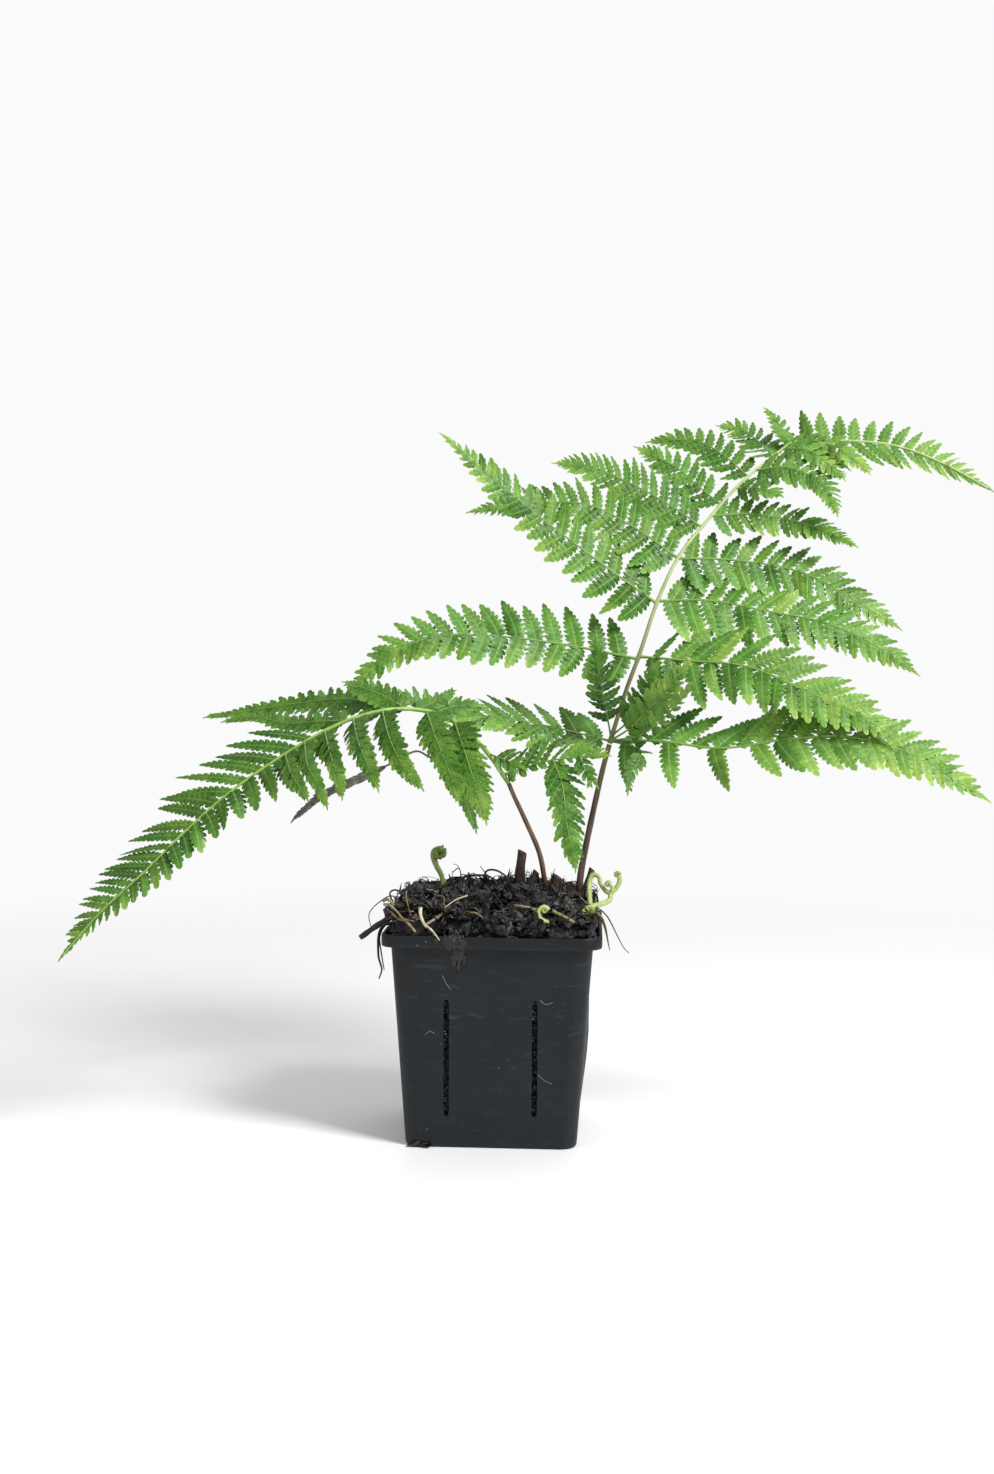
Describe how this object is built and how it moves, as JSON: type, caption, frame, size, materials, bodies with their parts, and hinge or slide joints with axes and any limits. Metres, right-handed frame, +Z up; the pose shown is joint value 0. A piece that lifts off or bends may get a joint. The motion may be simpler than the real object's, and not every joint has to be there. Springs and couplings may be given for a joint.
{
  "type": "potted australian tree fern",
  "caption": "Young tree fern with two arching fronds, curled young fronds and old stipe stubs, rooted in a mounded soil block in a square nursery pot.",
  "frame": {"origin": "middle of the flat underside of the pot", "axes": "+Z up, +X along the spread of the two fronds, from the low left frond to the tall right frond, -Y out of the pot's front face"},
  "size_m": [0.3365, 0.1468, 0.2782],
  "materials": {
    "pot_plastic": "satin charcoal injection-moulded plastic with fine scuffs",
    "soil": "wet dark peat and bark mix",
    "bark": "fibrous dark brown stem and twig",
    "stipe": "smooth brown stalk",
    "leaf": "satin green leaflets",
    "young_leaf": "pale green curled young fronds",
    "dead_leaf": "dry grey-brown withered leaflets",
    "straw": "dry straw-coloured strands"
  },
  "bodies": {
    "root": {"pot": "pot_plastic", "soil": "soil", "crown": "bark", "stipe_left": "stipe", "stipe_right": "stipe", "frond_left": "leaf", "frond_right": "leaf", "withered_pinna": "dead_leaf", "crozier_left": "young_leaf", "crozier_centre": "young_leaf", "crozier_right": "young_leaf", "twig": "bark", "straw_left": "straw", "straw_front": "straw", "straw_centre": "straw", "straw_right": "straw"}
  },
  "joints": []
}
